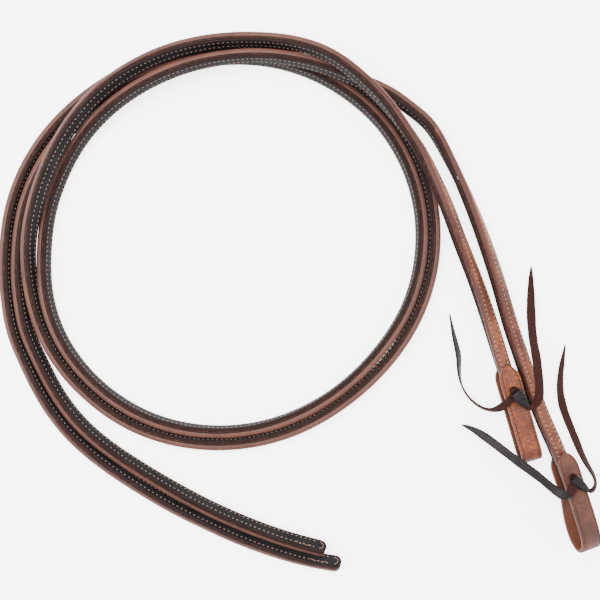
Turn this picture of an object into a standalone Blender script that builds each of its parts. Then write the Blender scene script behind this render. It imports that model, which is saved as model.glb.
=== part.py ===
"""A pair of doubled and stitched leather split reins, coiled, with laced bit loops.
Units are metres, +Z is up, the coil rests on z = 0. Lengths below are in millimetres."""

import math

import bmesh
import bpy
import numpy as np
from mathutils import Vector

MM = 0.001

# ---- sizes (mm) -------------------------------------------------------------------------
STRAP_HALF_W = 6.35        # half of a 1/2 in strap
FACE_U = 4.9               # from the middle of the doubled strap to either face
ROW_V = 3.25               # from the middle to each row of stitching
THREAD_HALF_W = 0.45
THREAD_RISE = 0.26
SECTION_STEP = 25.0        # distance between two sections of a strap
LOOP_HALF_W = 9.5          # half of a 3/4 in loop leather
LOOP_T = 3.4
LOOP_MID = 7.4             # from the strap's middle to the middle of a loop leaf
HOLE_S = 18.0              # the lace hole, from the strap's bit end
HOLE_R = 2.9
SHANK_R = 2.3
LACE_T = 1.8
CENTRE = (-68.0, 54.0)     # middle of the coil
TO_ORIGIN = (2.2, 3.6, 0)  # brings the middle of the whole object's box over the origin

# strap profile: (across the thickness, across the width), grain side positive
TOP_PROFILE = [(-0.55, 6.25), (2.2, 6.3), (4.0, 5.4), (4.8, 3.25), (4.9, 1.3),
               (4.9, -1.3), (4.8, -3.25), (4.0, -5.4), (2.2, -6.3), (-0.55, -6.25)]
LINING_PROFILE = [(-0.85, 6.25), (-4.5, 6.2), (-4.9, 3.25), (-4.9, -3.25), (-4.5, -6.2), (-0.85, -6.25)]


def ring(angle, radius, lift, lean):
    """A route key given round the middle of the coil."""
    a = math.radians(angle)
    return (CENTRE[0] + radius * math.cos(a), CENTRE[1] + radius * math.sin(a), lift, lean)


# ---- routes -----------------------------------------------------------------------------
# Each key: x, y, lift above resting on the table, lean of the grain side above level (deg).
LEFT_KEYS = [
    (194.0, -97.9, 4.8, 86), (189.8, -83.5, 4.8, 86), (185.6, -69.1, 4.7, 86), (181.0, -54.2, 4.3, 84),
    (174.5, -32.5, 2.4, 75), (167.6, -10.5, 0.9, 64), (159.8, 11.8, 1.0, 52), (150.5, 34.7, 3.5, 44),
    (140.2, 57.7, 9.5, 38), (128.6, 84.8, 16.0, 33), (117.7, 108.3, 17.5, 26), (106.5, 129.8, 20.0, 17),
    (94.4, 146.3, 25.0, 9), (76.0, 169.6, 29.5, -4), (53.2, 192.1, 30.3, -12),
    ring(59, 183.9, 29.6, -12), ring(69, 182.2, 23.4, -11), ring(79, 179.3, 15.8, -11),
    ring(89, 175.6, 15.2, -14), ring(104, 172.3, 15.2, -19), ring(120, 170.2, 15.2, -25),
    ring(135, 168.7, 15.2, -30), ring(150, 167.0, 15.2, -32), ring(160, 167.1, 15.2, -32),
    ring(170, 169.1, 13.6, -29), ring(180, 173.1, 9.3, -23), ring(190, 177.3, 3.8, -16),
    ring(200, 181.1, 0.2, -12), ring(215, 184.1, 0.1, -11), ring(230, 185.0, 0.0, -10),
    ring(245, 185.6, 0.0, -9), ring(260, 184.5, 0.0, -8), ring(275, 183.1, 0.0, -7),
    ring(290, 181.9, 0.0, -6), ring(305, 181.0, 0.0, -5), ring(320, 182.3, 0.0, -5),
    ring(335, 185.3, 0.0, -6), ring(350, 187.9, 0.0, -8), ring(365, 189.1, 0.0, -9),
    ring(380, 189.4, 0.0, -10), ring(395, 188.2, 0.0, -11), ring(410, 185.1, 0.0, -12),
    ring(425, 181.2, 0.0, -12), ring(440, 177.9, 0.0, -11), ring(452, 175.2, 0.0, -10),
    ring(466, 173.6, 0.0, -9), ring(480, 174.7, 0.0, -8), ring(492, 177.6, 0.0, -8),
    ring(502, 181.4, 0.0, -8), ring(512, 185.7, 0.0, -9), ring(522, 189.7, 0.0, -10),
    ring(532, 193.2, 0.0, -11), ring(542, 196.0, 0.0, -12), ring(552, 200.2, 0.0, -14),
    (-262.2, -0.6, 0.0, -17), (-256.5, -30.0, 0.0, -19), (-246.6, -54.4, 0.0, -21),
    (-229.3, -88.4, 0.0, -21), (-204.9, -120.6, 0.0, -23), (-174.2, -147.0, 0.0, -25),
    (-145.2, -166.4, 0.0, -27), (-112.1, -185.6, 0.0, -29), (-79.7, -201.6, 0.0, -31),
    (-44.3, -216.9, 0.0, -31), (-10.2, -228.1, 0.0, -35), (14.0, -234.0, 0.0, -38),
    (36.6, -237.6, 0.0, -42),
]
RIGHT_KEYS = [
    (244.8, -175.1, 10.4, 75), (239.7, -161.0, 9.0, 75), (234.6, -146.8, 7.4, 75), (229.3, -132.8, 5.7, 74),
    (217.4, -104.2, 2.4, 70), (208.0, -77.7, 0.8, 66), (198.8, -50.0, 0.3, 63), (189.6, -23.0, 0.2, 56),
    (181.2, 6.0, 0.0, 47), (170.0, 41.0, 0.0, 38), (157.4, 75.0, 0.3, 27), (145.0, 103.6, 1.5, 15),
    (130.0, 132.6, 5.5, 3), (113.4, 156.4, 12.0, -6), (97.0, 169.5, 15.0, -11),
    (81.0, 180.8, 15.3, -13), (61.5, 190.2, 15.3, -14), (41.0, 198.4, 15.3, -14),
    (20.0, 206.4, 15.3, -13), (-8.0, 213.2, 15.3, -11), (-37.5, 216.0, 15.3, -9),
    ring(89, 160.2, 15.3, -11), ring(100, 156.6, 15.3, -12), ring(112, 154.3, 14.5, -13),
    ring(124, 154.2, 11.2, -15), ring(136, 155.5, 6.6, -17), ring(148, 156.9, 2.4, -17),
    ring(160, 158.0, 0.5, -16), ring(172, 160.0, 0.1, -15), ring(184, 162.6, 0.0, -14),
    ring(196, 167.4, 0.0, -13), ring(208, 171.3, 0.0, -13), ring(222, 173.4, 0.0, -12),
    ring(236, 174.2, 0.0, -11), ring(250, 174.2, 0.0, -10), ring(265, 173.1, 0.0, -9),
    ring(280, 171.8, 0.0, -7), ring(295, 170.6, 0.0, -4), ring(310, 170.4, 0.0, -3),
    ring(325, 171.8, 0.0, -4), ring(340, 175.3, 0.0, -6), ring(355, 177.3, 0.0, -8),
    ring(370, 178.2, 0.0, -10), ring(385, 177.6, 0.0, -12), ring(398, 175.8, 0.0, -13),
    ring(410, 172.9, 0.0, -14), ring(422, 170.2, 0.0, -14), ring(434, 167.4, 0.0, -13),
    ring(446, 164.6, 0.0, -11), ring(458, 162.6, 0.0, -9), ring(470, 162.2, 0.0, -8),
    ring(482, 164.0, 0.0, -8), ring(492, 166.8, 0.0, -8), ring(502, 170.5, 0.0, -8),
    ring(512, 174.7, 0.0, -9), ring(522, 178.7, 0.0, -10), ring(532, 182.2, 0.0, -11),
    ring(542, 185.0, 0.0, -12), ring(552, 189.2, 0.0, -14),
    (-250.8, -2.9, 0.0, -17), (-244.8, -30.0, 0.0, -19), (-236.2, -49.8, 0.0, -21),
    (-219.6, -82.0, 0.0, -20), (-196.4, -112.4, 0.0, -20), (-167.5, -136.7, 0.0, -23),
    (-137.9, -155.9, 0.0, -26), (-106.0, -174.4, 0.3, -29), (-73.8, -190.6, 1.0, -31),
    (-39.6, -204.8, 2.0, -32), (-7.2, -215.7, 2.6, -36), (8.2, -219.9, 2.6, -38),
    (22.8, -223.8, 2.6, -40),
]


def natural_spline(t, values):
    """Coefficients of a natural cubic through values at t."""
    n = len(t)
    h = np.diff(t)
    a = np.zeros((n, n))
    b = np.zeros((n, values.shape[1]))
    a[0, 0] = a[-1, -1] = 1.0
    for i in range(1, n - 1):
        a[i, i - 1], a[i, i], a[i, i + 1] = h[i - 1], 2 * (h[i - 1] + h[i]), h[i]
        b[i] = 6 * ((values[i + 1] - values[i]) / h[i] - (values[i] - values[i - 1]) / h[i - 1])
    second = np.linalg.solve(a, b)

    def at(x):
        i = np.clip(np.searchsorted(t, x) - 1, 0, n - 2)
        w = (x - t[i])[:, None]
        v = (t[i + 1] - x)[:, None]
        k = h[i][:, None]
        return (second[i] * v**3 + second[i + 1] * w**3) / (6 * k) + \
            (values[i] / k - second[i] * k / 6) * v + (values[i + 1] / k - second[i + 1] * k / 6) * w
    return at


class Route:
    """The middle line of a doubled strap, with the way its grain side leans."""

    def __init__(self, keys):
        keys = np.array(keys, float)
        step = np.hypot(np.diff(keys[:, 0]), np.diff(keys[:, 1]))
        t = np.concatenate([[0.0], np.cumsum(step)])
        at = natural_spline(t, keys)
        fine = at(np.linspace(0.0, t[-1], 6000))
        lean = np.radians(fine[:, 3])
        rest = STRAP_HALF_W * np.abs(np.cos(lean)) + FACE_U * np.abs(np.sin(lean)) - 0.1
        self.points = np.column_stack([fine[:, 0], fine[:, 1], rest + fine[:, 2]])
        self.lean = lean
        self.s = np.concatenate([[0.0], np.cumsum(np.linalg.norm(np.diff(self.points, axis=0), axis=1))])
        self.length = float(self.s[-1])

    def place(self, s):
        """Point, grain direction and width direction at arc length s."""
        def point(x):
            return np.array([np.interp(x, self.s, self.points[:, k]) for k in range(3)])
        lo, hi = max(0.0, s - 3.0), min(self.length, s + 3.0)
        tangent = point(hi) - point(lo)
        tangent /= np.linalg.norm(tangent)
        side = np.cross(tangent, [0.0, 0.0, 1.0])
        side /= np.linalg.norm(side)
        up = np.cross(side, tangent)
        lean = float(np.interp(s, self.s, self.lean))
        grain = math.cos(lean) * side + math.sin(lean) * up
        width = math.cos(lean) * up - math.sin(lean) * side
        return point(s), tangent, grain, width


# ---- mesh helpers -----------------------------------------------------------------------
def material(name, colour, rough):
    mat = bpy.data.materials.new(name)
    mat.use_nodes = True
    shader = mat.node_tree.nodes["Principled BSDF"]
    shader.inputs["Base Color"].default_value = (*colour, 1.0)
    shader.inputs["Roughness"].default_value = rough
    return mat


def solid(name, rings, mat):
    """One closed body through rings of points (mm), each end capped."""
    mesh = bpy.data.meshes.new(name)
    bm = bmesh.new()
    shift = Vector(TO_ORIGIN)
    loops = [[bm.verts.new((Vector(p) + shift) * MM) for p in r] for r in rings]
    for a, b in zip(loops, loops[1:]):
        for i in range(len(a)):
            j = (i + 1) % len(a)
            bm.faces.new((a[i], a[j], b[j], b[i]))
    bm.faces.new(loops[0][::-1])
    bm.faces.new(loops[-1])
    bmesh.ops.triangulate(bm, faces=bm.faces[:])
    bmesh.ops.recalc_face_normals(bm, faces=bm.faces[:])
    bm.to_mesh(mesh)
    bm.free()
    mesh.materials.append(mat)
    obj = bpy.data.objects.new(name, mesh)
    bpy.context.scene.collection.objects.link(obj)
    return obj


def helper(name, rings):
    obj = solid(name, rings, MAT_EDGE)
    obj.hide_render = True
    obj.display_type = "WIRE"
    return obj


def combine(obj, other, operation):
    mod = obj.modifiers.new(operation.lower(), "BOOLEAN")
    mod.operation = operation
    mod.solver = "EXACT"
    mod.object = other


def strap_stops(route):
    """Where the sections stand: close together at the two rounded ends."""
    n = int(round((route.length - 2 * 30.0) / SECTION_STEP))
    body = list(np.linspace(30.0, route.length - 30.0, n + 1))
    ends = [0.0, 0.9, 2.6, 6.35]
    return ends + [18.0] + body + [route.length - 18.0] + [route.length - e for e in ends[::-1]]


def end_narrowing(route, s):
    """The strap's ends are rounded to a half circle."""
    d = min(s, route.length - s)
    if d >= STRAP_HALF_W:
        return 1.0
    return max(0.3, math.sqrt(1.0 - (1.0 - d / STRAP_HALF_W) ** 2))


def strap(name, route, profile, mat):
    rings = []
    for s in strap_stops(route):
        p, _, g, w = route.place(s)
        k = end_narrowing(route, s)
        rings.append([p + g * u + w * (v * k) for u, v in profile])
    return solid(name, rings, mat)


def thread(name, route, side, mat):
    """Both rows of stitching on one face, joined round the tail: one run of thread."""
    stops = [s for s in strap_stops(route) if 6.0 < s < route.length - 10.0]
    face = FACE_U + 0.06 if side > 0 else FACE_U + 0.1
    turn = route.length - 9.5
    rings = []

    def section(p, g, across):
        rings.append([p + g * side * face - across * THREAD_HALF_W,
                      p + g * side * (face + THREAD_RISE),
                      p + g * side * face + across * THREAD_HALF_W])

    for s in stops:
        p, _, g, w = route.place(s)
        section(p + w * ROW_V, g, w)
    for k in range(7):
        a = math.pi * k / 6
        p, t, g, w = route.place(turn + ROW_V * math.sin(a))
        lift = 0.12 * math.sin(a) if side > 0 else 0.0
        section(p + w * ROW_V * math.cos(a) + g * lift, g, w * math.cos(a) + t * math.sin(a))
    for s in reversed(stops):
        p, _, g, w = route.place(s)
        section(p - w * ROW_V, g, -w)
    return solid(name, rings, mat)


def round_bar(origin, axis, across, up, stations):
    """Rings of an oval bar: stations are (along, half width, half height)."""
    rings = []
    for along, a, b in stations:
        rings.append([origin + axis * along + across * a * math.cos(q) + up * b * math.sin(q)
                      for q in np.linspace(0, 2 * math.pi, 12, endpoint=False)])
    return rings


# leaf middle line, local x from the hole toward the bit, z on the grain side
TAB = [(-23.0, LOOP_MID), (-19.5, LOOP_MID), (-14.0, LOOP_MID), (-6.0, LOOP_MID), (6.0, LOOP_MID)]
BACK_TAB = [(x, -z) for x, z in reversed(TAB)]
FLAT_LOOP = [(18.0, 7.4), (32.0, 7.2), (46.0, 7.2), (55.0, 7.2), (58.8, 6.5), (62.0, 4.6), (64.1, 1.8),
             (64.5, -1.3), (63.3, -4.5), (60.6, -6.6), (56.6, -7.4), (46.0, -7.4), (32.0, -7.4), (18.0, -7.4)]
OPEN_LOOP = [(18.0, 7.4), (30.0, 7.2), (42.0, 6.7), (52.0, 5.3), (58.5, 2.8), (62.6, -0.9), (64.2, -5.2),
             (63.0, -9.8), (59.0, -13.3), (52.5, -15.3), (45.0, -15.5), (37.0, -14.3), (29.0, -12.0),
             (21.0, -9.2), (14.0, -7.6)]
TAB_NARROWING = {-23.0: 0.36, -19.5: 0.74}


def bit_loop(name, frame, shape, mat):
    """The folded leather that holds the bit ring."""
    origin, along, across, up = frame
    pts = np.array(TAB + shape + BACK_TAB)
    rings = []
    for i, (x, z) in enumerate(pts):
        a, b = pts[max(0, i - 1)], pts[min(len(pts) - 1, i + 1)]
        d = (b - a) / np.linalg.norm(b - a)
        n = np.array([-d[1], d[0]])
        half = LOOP_HALF_W * TAB_NARROWING.get(float(x), 1.0)
        middle = origin + along * x + up * z
        normal = along * n[0] + up * n[1]
        outer, inner = middle + normal * LOOP_T / 2, middle - normal * LOOP_T / 2
        rings.append([outer + across * half, outer - across * half,
                      inner - across * half, inner + across * half])
    return solid(name, rings, mat)


def ribbon(name, keys, mat):
    """A lace tail: keys are x, y, z, roll of its flat side from level (deg), half width."""
    keys = np.array(keys, float)
    step = np.linalg.norm(np.diff(keys[:, :3], axis=0), axis=1)
    t = np.concatenate([[0.0], np.cumsum(step)])
    at = natural_spline(t, keys)
    n = max(8, int(t[-1] / 7.0))
    rows = at(np.linspace(0.0, t[-1], n))
    rings = []
    for i, (x, y, z, roll, half) in enumerate(rows):
        a, b = rows[max(0, i - 1)][:3], rows[min(n - 1, i + 1)][:3]
        tangent = (b - a) / np.linalg.norm(b - a)
        side = np.cross(tangent, [0.0, 0.0, 1.0])
        side /= np.linalg.norm(side)
        up = np.cross(side, tangent)
        r = math.radians(roll)
        across = math.cos(r) * side + math.sin(r) * up
        normal = np.cross(across, tangent)
        p = np.array([x, y, z])
        h, k = half, LACE_T / 2
        rings.append([p + across * h + normal * k, p - across * h + normal * k,
                      p - across * h - normal * k, p + across * h - normal * k])
    return solid(name, rings, mat)


# ---- build ------------------------------------------------------------------------------
for old in list(bpy.data.objects):
    bpy.data.objects.remove(old)

MAT_TOP = material("brown_grain_leather", (0.30, 0.13, 0.08), 0.6)
MAT_LINING = material("black_lining_leather", (0.035, 0.033, 0.034), 0.7)
MAT_EDGE = material("edge", (0.05, 0.03, 0.025), 0.6)
MAT_THREAD = material("stitching_thread", (0.72, 0.60, 0.50), 0.8)
MAT_LOOP = material("oiled_loop_leather", (0.40, 0.18, 0.09), 0.6)
MAT_LACE = material("dark_lace_leather", (0.05, 0.03, 0.03), 0.6)

LACES = {
    # barrel: where its middle lies on the front leaf, and which way it runs (along, across);
    # turn: how far the loop is swivelled about the lace hole (deg)
    "left": {
        "barrel": ((8.7, 2.8), (0.917, 0.399)), "turn": 0.0,
        "left": [(184.2, -89.4, 21.9, 2, 3.4), (177.8, -94.6, 21.4, 22, 3.9), (170.0, -97.6, 17.5, 60, 3.9),
                 (161.9, -95.8, 12.2, 78, 3.9), (153.0, -89.0, 8.2, 88, 3.9), (145.8, -77.0, 5.8, 100, 3.8),
                 (143.3, -63.1, 5.2, 122, 3.8), (143.0, -52.3, 4.9, 132, 3.7), (139.8, -36.1, 4.2, 136, 3.0),
                 (135.1, -12.6, 3.6, 136, 0.7)],
        "right": [(203.6, -95.4, 21.4, 14, 2.3), (207.4, -92.6, 21.0, 30, 3.2), (210.8, -87.2, 20.5, 36, 3.9),
                  (212.0, -79.8, 20.0, 26, 3.9), (211.4, -69.2, 19.2, 14, 3.9), (210.0, -53.3, 17.4, 12, 3.9),
                  (208.2, -35.7, 12.6, 14, 3.9), (207.8, -18.0, 7.8, 12, 3.9), (208.2, 0.0, 4.6, 10, 3.7),
                  (208.6, 15.4, 3.0, 8, 2.6), (209.0, 29.9, 2.2, 5, 0.7)],
    },
    "right": {
        "barrel": ((6.7, 2.3), (0.832, 0.553)), "turn": 3.0,
        "left": [(235.6, -171.0, 28.6, -8, 2.4), (230.8, -170.8, 29.3, -6, 3.9),
                 (225.2, -168.0, 28.0, -6, 3.9), (212.4, -157.5, 26.0, -5, 3.9),
                 (194.7, -144.3, 23.8, -4, 3.9), (177.6, -131.4, 20.9, -3, 3.9),
                 (164.0, -121.3, 16.4, -2, 3.6), (152.1, -114.5, 11.6, 0, 2.2), (145.2, -112.0, 8.6, 2, 0.7)],
        "right": [(255.6, -167.4, 26.0, -14, 2.3), (258.4, -165.8, 24.6, -38, 3.0),
                  (260.6, -162.4, 22.0, -54, 3.6), (260.8, -157.6, 18.8, -60, 3.9),
                  (258.6, -151.4, 14.6, -54, 3.9), (254.8, -143.4, 10.6, -44, 3.9),
                  (247.8, -124.8, 5.6, -24, 3.9), (241.6, -108.6, 3.9, -16, 3.9),
                  (236.8, -93.8, 3.4, -18, 3.9), (234.8, -79.4, 3.6, -26, 3.9),
                  (235.7, -63.1, 3.6, -30, 3.2), (237.8, -50.6, 3.2, -26, 1.9),
                  (239.6, -41.2, 2.8, -20, 0.7)],
    },
}

for hand, keys, shape in (("left", LEFT_KEYS, FLAT_LOOP), ("right", RIGHT_KEYS, OPEN_LOOP)):
    route = Route(keys)
    print(hand, "rein length", round(route.length, 1), "mm")
    top = strap(hand + "_rein_top_strap", route, TOP_PROFILE, MAT_TOP)
    lining = strap(hand + "_rein_lining", route, LINING_PROFILE, MAT_LINING)
    thread(hand + "_rein_face_thread", route, 1, MAT_THREAD)
    thread(hand + "_rein_back_thread", route, -1, MAT_THREAD)

    point, tangent, grain, width = route.place(HOLE_S)
    turn = math.radians(LACES[hand]["turn"])
    along = -tangent * math.cos(turn) + width * math.sin(turn)
    across = np.cross(grain, along)
    loop = bit_loop(hand + "_bit_loop", (point, along, across, grain), shape, MAT_LOOP)
    drill = helper(hand + "_drill", round_bar(point, grain, -tangent, width,
                                              [(-14.0, HOLE_R, HOLE_R), (14.0, HOLE_R, HOLE_R)]))
    for piece in (top, lining, loop):
        combine(piece, drill, "DIFFERENCE")

    (bx, by), (ax, ay) = LACES[hand]["barrel"]
    axis = (along * ax + across * ay) / math.hypot(ax, ay)
    middle = point + along * bx + across * by + grain * 13.4
    beside = np.cross(grain, axis)
    knot = solid(hand + "_lace_knot", round_bar(middle, axis, beside, grain, [
        (-9.3, 3.6, 2.4), (-8.6, 4.8, 3.5), (-5.0, 5.1, 3.9), (-0.4, 5.2, 3.9), (0.2, 4.8, 3.6),
        (0.8, 5.0, 3.8), (4.8, 4.4, 3.5), (7.8, 3.4, 2.8), (9.3, 2.4, 1.8)]), MAT_LACE)
    shank = helper(hand + "_shank", round_bar(point, grain, -tangent, width, [
        (-8.6, SHANK_R, SHANK_R), (12.2, SHANK_R, SHANK_R)]))
    combine(knot, shank, "UNION")
    ribbon(hand + "_lace_left_tail", LACES[hand]["left"], MAT_LACE)
    ribbon(hand + "_lace_right_tail", LACES[hand]["right"], MAT_LACE)
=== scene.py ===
"""Looks of the coiled pair of leather split reins: stitched straps, folded bit loops, lace ties.
Routes and sizes are in millimetres and repeat the model's; meshes are made in metres."""

import math

import bmesh
import bpy
import numpy as np
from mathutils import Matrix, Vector


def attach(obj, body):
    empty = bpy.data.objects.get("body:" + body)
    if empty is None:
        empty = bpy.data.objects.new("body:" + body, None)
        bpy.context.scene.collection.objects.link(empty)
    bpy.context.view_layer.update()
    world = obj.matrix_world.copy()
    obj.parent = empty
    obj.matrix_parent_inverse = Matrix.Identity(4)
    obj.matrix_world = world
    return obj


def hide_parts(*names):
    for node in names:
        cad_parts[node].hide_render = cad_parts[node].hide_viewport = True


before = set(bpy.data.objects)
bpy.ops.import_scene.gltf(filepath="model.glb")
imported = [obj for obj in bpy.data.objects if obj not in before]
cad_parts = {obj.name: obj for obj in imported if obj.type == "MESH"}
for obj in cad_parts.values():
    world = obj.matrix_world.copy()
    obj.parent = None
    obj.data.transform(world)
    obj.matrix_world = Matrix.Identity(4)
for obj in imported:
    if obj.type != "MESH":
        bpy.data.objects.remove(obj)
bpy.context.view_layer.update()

MM = 0.001
TO_ORIGIN = np.array([2.2, 3.6, 0.0])   # middle of the object's box, as in the model

# ---- sizes (mm) -----------------------------------------------------------------------------
STRAP_HALF_W = 6.35
FACE_U = 4.9               # from the seam between the two leathers to either face
EDGE_V = 4.5               # beyond this, across the strap, its edge begins
ROW_V = 3.25               # a row of stitches, from the middle of the strap
STITCH_PITCH = 4.233       # six to the inch
THREAD_HALF_W = 0.42
THREAD_HALF_H = 0.34
THREAD_AT = {1: 4.57, -1: 4.78}   # height of the thread on the grain side and on the lining side
RUN_START = 7.0            # where the stitching begins, from the bit end
RUN_END = 8.6              # and where its rows turn, from the tail end
LOOP_HALF_W = 9.5
LOOP_T = 3.2
CREASE_V = 7.25            # the creased line near each edge of a loop
TAB_REACH = 15.0           # length of the rounded, thinned end of a loop's leaf
HOLE_S = 18.0              # lace hole, from the strap's bit end
HOLE_R = 3.6
STRAP_HOLE_R = 3.0
DRILL_LENGTH = 24.0
LACE_HALF_W = 3.9
LACE_T = 1.7
KNOT_UP = 13.4             # middle of a knot above the strap's middle line
CENTRE = (-68.0, 54.0)     # of the coil
ROUTE_SAMPLES = 6000
LOFT_POINTS = 28           # round a section of a knot

# ---- camera, light and pigment -------------------------------------------------------------
CAMERA_HEIGHT = 0.816      # m
LENS, SENSOR = 54.0, 36.0
FLOOR_SIZE, FLOOR_DROP = 6.0, 0.0003   # m; the floor is a hair below the straps
WORLD_STRENGTH = 1.6
FLOOR_GLOW = 3.2
LAMPS = [  # name, place (m), size (m), power (W)
    ("overhead", (-0.35, 0.3, 1.6), (1.5, 1.5), 90.0),
    ("right_soft", (1.3, -0.2, 0.7), (0.8, 1.6), 16.0),
    ("left_soft", (-1.3, 0.1, 0.7), (0.8, 1.6), 16.0),
]
PIGMENT = 0.21             # how dark the pigments are, for the bright studio light
RICH = 1.3                 # and how much further from grey


def ring(angle, radius, lift, lean):
    """A route key given round the middle of the coil."""
    a = math.radians(angle)
    return (CENTRE[0] + radius * math.cos(a), CENTRE[1] + radius * math.sin(a), lift, lean)


# ---- routes: x, y, lift above resting, lean of the grain side above level (deg) ------------
LEFT_KEYS = [
    (194.0, -97.9, 4.8, 86), (189.8, -83.5, 4.8, 86), (185.6, -69.1, 4.7, 86),
    (181.0, -54.2, 4.3, 84), (174.5, -32.5, 2.4, 75), (167.6, -10.5, 0.9, 64),
    (159.8, 11.8, 1.0, 52), (150.5, 34.7, 3.5, 44), (140.2, 57.7, 9.5, 38),
    (128.6, 84.8, 16.0, 33), (117.7, 108.3, 17.5, 26), (106.5, 129.8, 20.0, 17),
    (94.4, 146.3, 25.0, 9), (76.0, 169.6, 29.5, -4), (53.2, 192.1, 30.3, -12),
    ring(59, 183.9, 29.6, -12), ring(69, 182.2, 23.4, -11), ring(79, 179.3, 15.8, -11),
    ring(89, 175.6, 15.2, -14), ring(104, 172.3, 15.2, -19), ring(120, 170.2, 15.2, -25),
    ring(135, 168.7, 15.2, -30), ring(150, 167.0, 15.2, -32), ring(160, 167.1, 15.2, -32),
    ring(170, 169.1, 13.6, -29), ring(180, 173.1, 9.3, -23), ring(190, 177.3, 3.8, -16),
    ring(200, 181.1, 0.2, -12), ring(215, 184.1, 0.1, -11), ring(230, 185.0, 0.0, -10),
    ring(245, 185.6, 0.0, -9), ring(260, 184.5, 0.0, -8), ring(275, 183.1, 0.0, -7),
    ring(290, 181.9, 0.0, -6), ring(305, 181.0, 0.0, -5), ring(320, 182.3, 0.0, -5),
    ring(335, 185.3, 0.0, -6), ring(350, 187.9, 0.0, -8), ring(365, 189.1, 0.0, -9),
    ring(380, 189.4, 0.0, -10), ring(395, 188.2, 0.0, -11), ring(410, 185.1, 0.0, -12),
    ring(425, 181.2, 0.0, -12), ring(440, 177.9, 0.0, -11), ring(452, 175.2, 0.0, -10),
    ring(466, 173.6, 0.0, -9), ring(480, 174.7, 0.0, -8), ring(492, 177.6, 0.0, -8),
    ring(502, 181.4, 0.0, -8), ring(512, 185.7, 0.0, -9), ring(522, 189.7, 0.0, -10),
    ring(532, 193.2, 0.0, -11), ring(542, 196.0, 0.0, -12), ring(552, 200.2, 0.0, -14),
    (-262.2, -0.6, 0.0, -17), (-256.5, -30.0, 0.0, -19), (-246.6, -54.4, 0.0, -21),
    (-229.3, -88.4, 0.0, -21), (-204.9, -120.6, 0.0, -23), (-174.2, -147.0, 0.0, -25),
    (-145.2, -166.4, 0.0, -27), (-112.1, -185.6, 0.0, -29), (-79.7, -201.6, 0.0, -31),
    (-44.3, -216.9, 0.0, -31), (-10.2, -228.1, 0.0, -35), (14.0, -234.0, 0.0, -38),
    (36.6, -237.6, 0.0, -42),
]
RIGHT_KEYS = [
    (244.8, -175.1, 10.4, 75), (239.7, -161.0, 9.0, 75), (234.6, -146.8, 7.4, 75),
    (229.3, -132.8, 5.7, 74), (217.4, -104.2, 2.4, 70), (208.0, -77.7, 0.8, 66),
    (198.8, -50.0, 0.3, 63), (189.6, -23.0, 0.2, 56), (181.2, 6.0, 0.0, 47),
    (170.0, 41.0, 0.0, 38), (157.4, 75.0, 0.3, 27), (145.0, 103.6, 1.5, 15),
    (130.0, 132.6, 5.5, 3), (113.4, 156.4, 12.0, -6), (97.0, 169.5, 15.0, -11),
    (81.0, 180.8, 15.3, -13), (61.5, 190.2, 15.3, -14), (41.0, 198.4, 15.3, -14),
    (20.0, 206.4, 15.3, -13), (-8.0, 213.2, 15.3, -11), (-37.5, 216.0, 15.3, -9),
    ring(89, 160.2, 15.3, -11), ring(100, 156.6, 15.3, -12), ring(112, 154.3, 14.5, -13),
    ring(124, 154.2, 11.2, -15), ring(136, 155.5, 6.6, -17), ring(148, 156.9, 2.4, -17),
    ring(160, 158.0, 0.5, -16), ring(172, 160.0, 0.1, -15), ring(184, 162.6, 0.0, -14),
    ring(196, 167.4, 0.0, -13), ring(208, 171.3, 0.0, -13), ring(222, 173.4, 0.0, -12),
    ring(236, 174.2, 0.0, -11), ring(250, 174.2, 0.0, -10), ring(265, 173.1, 0.0, -9),
    ring(280, 171.8, 0.0, -7), ring(295, 170.6, 0.0, -4), ring(310, 170.4, 0.0, -3),
    ring(325, 171.8, 0.0, -4), ring(340, 175.3, 0.0, -6), ring(355, 177.3, 0.0, -8),
    ring(370, 178.2, 0.0, -10), ring(385, 177.6, 0.0, -12), ring(398, 175.8, 0.0, -13),
    ring(410, 172.9, 0.0, -14), ring(422, 170.2, 0.0, -14), ring(434, 167.4, 0.0, -13),
    ring(446, 164.6, 0.0, -11), ring(458, 162.6, 0.0, -9), ring(470, 162.2, 0.0, -8),
    ring(482, 164.0, 0.0, -8), ring(492, 166.8, 0.0, -8), ring(502, 170.5, 0.0, -8),
    ring(512, 174.7, 0.0, -9), ring(522, 178.7, 0.0, -10), ring(532, 182.2, 0.0, -11),
    ring(542, 185.0, 0.0, -12), ring(552, 189.2, 0.0, -14), (-250.8, -2.9, 0.0, -17),
    (-244.8, -30.0, 0.0, -19), (-236.2, -49.8, 0.0, -21), (-219.6, -82.0, 0.0, -20),
    (-196.4, -112.4, 0.0, -20), (-167.5, -136.7, 0.0, -23), (-137.9, -155.9, 0.0, -26),
    (-106.0, -174.4, 0.3, -29), (-73.8, -190.6, 1.0, -31), (-39.6, -204.8, 2.0, -32),
    (-7.2, -215.7, 2.6, -36), (8.2, -219.9, 2.6, -38), (22.8, -223.8, 2.6, -40),
]

# leaf middle line of each loop: x from the lace hole toward the bit, z on the grain side
TAB = [(-23.0, 7.2), (-19.5, 7.2), (-14.0, 7.2), (-6.0, 7.2), (6.0, 7.2)]
BACK_TAB = [(x, -z) for x, z in reversed(TAB)]
FLAT_LOOP = [(18.0, 7.4), (32.0, 7.2), (46.0, 7.2), (55.0, 7.2), (58.8, 6.5),
             (62.0, 4.6), (64.1, 1.8), (64.5, -1.3), (63.3, -4.5), (60.6, -6.6),
             (56.6, -7.4), (46.0, -7.4), (32.0, -7.4), (18.0, -7.4)]
OPEN_LOOP = [(18.0, 7.4), (30.0, 7.2), (42.0, 6.7), (52.0, 5.3), (58.5, 2.8),
             (62.6, -0.9), (64.2, -5.2), (63.0, -9.8), (59.0, -13.3), (52.5, -15.3),
             (45.0, -15.5), (37.0, -14.3), (29.0, -12.0), (21.0, -9.2), (14.0, -7.6)]

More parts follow.
